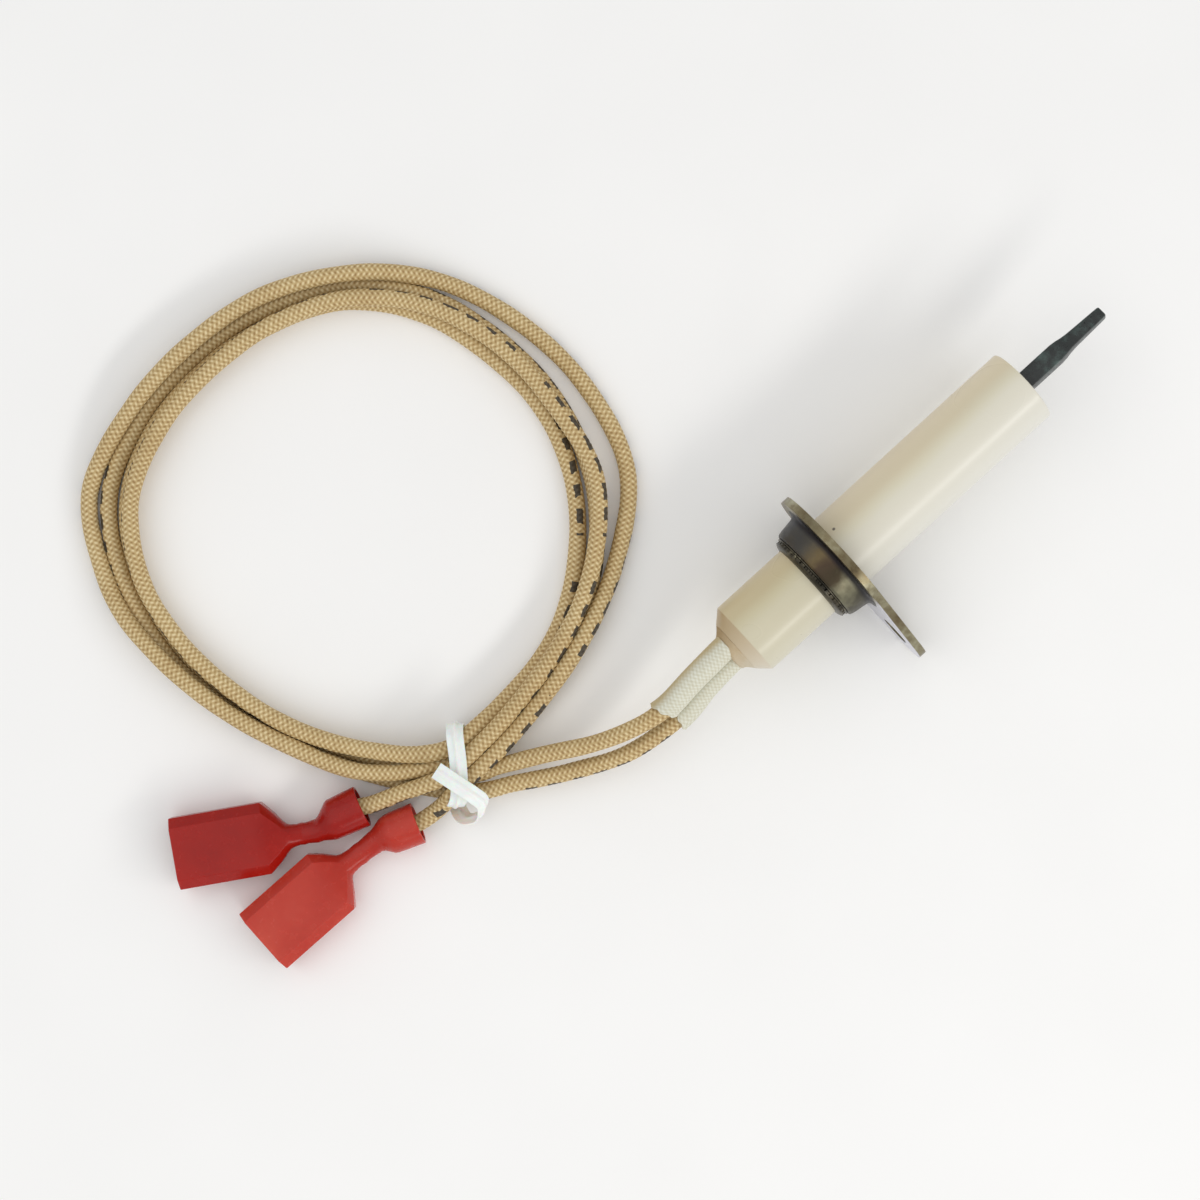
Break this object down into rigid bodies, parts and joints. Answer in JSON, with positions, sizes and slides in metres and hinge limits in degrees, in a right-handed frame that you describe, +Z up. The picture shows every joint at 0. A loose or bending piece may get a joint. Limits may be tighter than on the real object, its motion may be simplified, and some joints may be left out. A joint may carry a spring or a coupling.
{
  "type": "hot-surface igniter",
  "caption": "Boiler igniter: dark ceramic heater in a white ceramic tube with a one-ear flange, on coiled and tied braided leads with red push-on receptacles.",
  "frame": {"origin": "on the surface the igniter lies on, below the middle of the igniter proper (tube, heater, flange and lead sleeves, without the loose leads)", "axes": "+X along the ceramic tube's axis towards the heater's tip, +Z up from the surface, +Y to the side away from the screw ear and towards the coil"},
  "size_m": [0.1411, 0.0972, 0.0198],
  "materials": {
    "alumina": "unglazed, satin, cream with a tan cast",
    "nitride": "dark green-grey, satin",
    "nickel": "bright drawn nickel",
    "copper": "stranded copper",
    "cement": "matt, granular",
    "steel": "plated steel with heat tint, satin",
    "glass_fibre": "off-white braided glass fibre",
    "lead_braid": "golden tan varnished glass braid with a broken black tracer",
    "red_nylon": "translucent red, glossy",
    "brass": "tinned brass, satin",
    "white_plastic": "white plastic ribbon with a raised rib",
    "wire_steel": "soft iron wire"
  },
  "bodies": {
    "root": {"ceramic_body": "alumina", "heater_element": "nitride", "contact_a": "nickel", "contact_b": "nickel", "nickel_wire_a": "nickel", "nickel_wire_b": "nickel", "splice_a": "nickel", "splice_b": "nickel", "conductor_a": "copper", "conductor_b": "copper", "front_cement": "cement", "rear_cement": "cement", "mounting_flange": "steel", "retaining_ring": "steel", "lead_sleeve_a": "glass_fibre", "lead_sleeve_b": "glass_fibre", "lead_a_run": "lead_braid", "lead_b_run": "lead_braid", "lead_coil": "lead_braid", "lead_a_tail": "lead_braid", "lead_b_tail": "lead_braid", "terminal_housing_a": "red_nylon", "terminal_housing_b": "red_nylon", "receptacle_a": "brass", "receptacle_b": "brass", "support_sleeve_a": "brass", "support_sleeve_b": "brass", "terminal_conductor_a": "copper", "terminal_conductor_b": "copper", "twist_tie": "white_plastic", "tie_wire": "wire_steel"}
  },
  "joints": []
}
